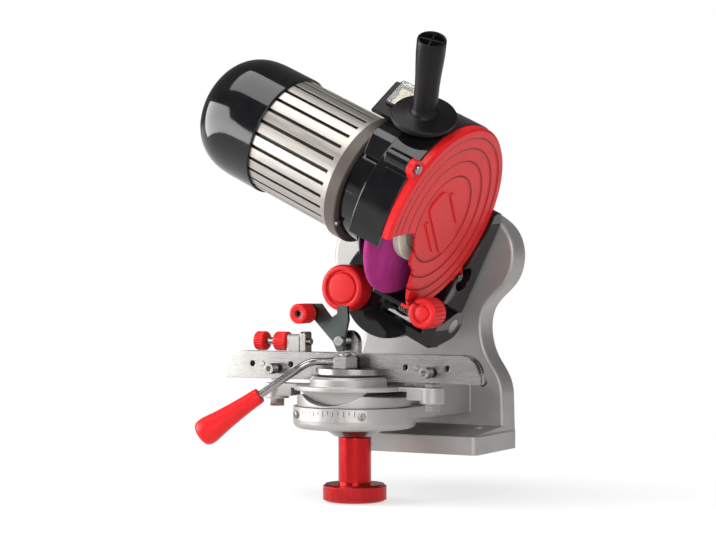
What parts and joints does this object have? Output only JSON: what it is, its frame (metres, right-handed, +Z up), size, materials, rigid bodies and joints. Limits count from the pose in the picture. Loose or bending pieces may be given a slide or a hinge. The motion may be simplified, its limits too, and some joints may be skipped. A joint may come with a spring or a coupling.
{
  "type": "chainsaw chain sharpener",
  "caption": "Bench chain grinder with tilting motor head, guarded abrasive wheel, swivelling chain vise with clamp lever and chain stop.",
  "frame": {"origin": "middle of the two bench bolt holes, on the underside of the foot", "axes": "+X to the right along the vise rail, +Y to the back, +Z up"},
  "size_m": [0.2553, 0.2038, 0.3545],
  "materials": {
    "cast_alloy": "matt cast",
    "scale_alloy": "satin",
    "steel": "zinc plated",
    "dark_steel": "blackened",
    "bronze": "plain",
    "black_paint": "gloss",
    "red_plastic": "semi gloss",
    "red_anodised": "anodised",
    "motor_alloy": "satin",
    "grey_paint": "satin",
    "bearing_steel": "polished",
    "black_plastic": "matt",
    "rocker_plastic": "gloss",
    "clear_plastic": "clear",
    "abrasive": "rough",
    "cream_plastic": "satin"
  },
  "bodies": {
    "base": {"base_casting": "cast_alloy", "scale_plate": "scale_alloy", "scale_screws": "steel", "tilt_pivot_bolt": "steel", "tilt_pivot_nut": "steel"},
    "yoke": {"tilt_yoke": "black_paint", "tilt_lock_stud": "steel", "tilt_lock_nut": "steel", "hinge_pin": "steel", "return_spring": "steel"},
    "tilt_lock": {"tilt_lock_knob": "red_plastic"},
    "head": {"guard_housing": "black_paint", "hinge_bush": "bronze", "guard_cover": "red_plastic", "cover_screws": "steel", "motor_flange": "grey_paint", "flange_screws": "steel", "motor_case": "motor_alloy", "motor_cap": "black_paint", "stator_core": "dark_steel", "rear_shield": "motor_alloy", "bearings": "bearing_steel", "handle": "black_plastic", "switch_box": "black_plastic", "switch_frame": "black_plastic", "cable_gland": "black_plastic"},
    "depth_stop": {"depth_knob": "red_plastic"},
    "spindle": {"rotor": "steel", "cooling_fan": "black_plastic", "grinding_wheel": "abrasive", "inner_flange": "steel", "outer_flange": "cream_plastic", "wheel_nut": "steel"},
    "rocker": {"switch_rocker": "rocker_plastic"},
    "flap": {"switch_flap": "clear_plastic"},
    "turntable": {"vise_turntable": "cast_alloy", "lock_stud": "steel", "lock_washer": "steel"},
    "vise": {"vise_body": "cast_alloy", "rear_jaw": "steel", "guide_screws": "steel", "jaw_screws": "steel", "rail_screws": "steel", "rail_nuts": "steel", "lever_pivot": "steel", "stop_bracket": "cast_alloy"},
    "vise_lock": {"vise_lock_knob": "red_anodised"},
    "jaw": {"front_jaw": "steel", "jaw_dowels": "steel", "clamp_shoe": "steel"},
    "lever": {"lever_hub": "steel", "lever_rod": "steel", "lever_grip": "red_plastic"},
    "carriage": {"stop_carriage": "steel", "stop_rod": "steel", "stop_pin": "steel"},
    "stop_adjust": {"stop_adjust_knob": "red_plastic"},
    "stop_lock": {"stop_lock_knob": "red_plastic"},
    "pawl": {"stop_pawl": "dark_steel"},
    "stop_thumb": {"stop_knob": "red_plastic"}
  },
  "joints": [
    {"name": "head_tilt", "type": "hinge", "parent": "base", "child": "yoke", "pos_m": [0.002, 0.013, 0.131], "axis": [0, 1, 0], "range_deg": [-26, 14]},
    {"name": "tilt_lock_turn", "type": "hinge", "parent": "yoke", "child": "tilt_lock", "pos_m": [-0.0294, -0.06, 0.1314], "axis": [0, 1, 0], "range_deg": [-180, 180]},
    {"name": "head_swing", "type": "hinge", "parent": "yoke", "child": "head", "pos_m": [0.02568, -0.022, 0.11111], "axis": [0.8988, 0, -0.4384], "range_deg": [0, 23], "stiffness_Nm_per_rad": 3, "springref_deg": -60.16, "deforming": ["return_spring"]},
    {"name": "depth_stop_turn", "type": "hinge", "parent": "head", "child": "depth_stop", "pos_m": [0.04977, -0.068, 0.11215], "axis": [0, 1, 0], "range_deg": [-180, 180]},
    {"name": "wheel_spin", "type": "hinge", "parent": "head", "child": "spindle", "pos_m": [0.05125, -0.081, 0.1932], "axis": [0.8988, 0, -0.4384], "continuous": true},
    {"name": "switch_rock", "type": "hinge", "parent": "head", "child": "rocker", "pos_m": [0.0449, -0.09732, 0.2737], "axis": [0.8988, 0, -0.4384], "range_deg": [-6, 0]},
    {"name": "flap_lift", "type": "hinge", "parent": "head", "child": "flap", "pos_m": [0.05041, -0.09409, 0.285], "axis": [0.8988, 0, -0.4384], "range_deg": [-100, 0]},
    {"name": "vise_swivel", "type": "hinge", "parent": "base", "child": "turntable", "pos_m": [0, -0.098, 0.04], "axis": [0, 0, -1], "range_deg": [-30, 30]},
    {"name": "vise_rock", "type": "hinge", "parent": "turntable", "child": "vise", "pos_m": [0, -0.098, 0.0884], "axis": [0, 1, 0], "range_deg": [-5, 5]},
    {"name": "vise_lock_turn", "type": "hinge", "parent": "turntable", "child": "vise_lock", "pos_m": [0, -0.098, -0.009], "axis": [0, 0, 1], "range_deg": [-180, 180]},
    {"name": "clamp_lever", "type": "hinge", "parent": "vise", "child": "lever", "pos_m": [0.001, -0.114, 0.0745], "axis": [0, 0, 1], "range_deg": [0, 70]},
    {"name": "jaw_slide", "type": "slide", "parent": "vise", "child": "jaw", "axis": [0, 1, 0], "range_m": [0, 0.0015]},
    {"name": "stop_adjust_turn", "type": "hinge", "parent": "vise", "child": "stop_adjust", "pos_m": [-0.092, -0.088, 0.0887], "axis": [1, 0, 0], "range_deg": [0, 1800]},
    {"name": "stop_travel", "type": "slide", "parent": "vise", "child": "carriage", "axis": [1, 0, 0], "range_m": [0, 0.005]},
    {"name": "stop_lock_turn", "type": "hinge", "parent": "vise", "child": "stop_lock", "pos_m": [-0.072, -0.088, 0.0887], "axis": [1, 0, 0], "range_deg": [-180, 180]},
    {"name": "pawl_flip", "type": "hinge", "parent": "carriage", "child": "pawl", "pos_m": [-0.013, -0.098, 0.09], "axis": [0, -1, 0], "range_deg": [-60, 15]},
    {"name": "stop_thumb_turn", "type": "hinge", "parent": "pawl", "child": "stop_thumb", "pos_m": [-0.041, -0.108, 0.1115], "axis": [0, 1, 0], "range_deg": [-180, 180]}
  ],
  "couplings": [
    {"joint": "clamp_lever", "follows": "jaw_slide", "rad_per_m": 814.46},
    {"joint": "stop_adjust_turn", "follows": "stop_travel", "rad_per_m": 6283.1}
  ]
}
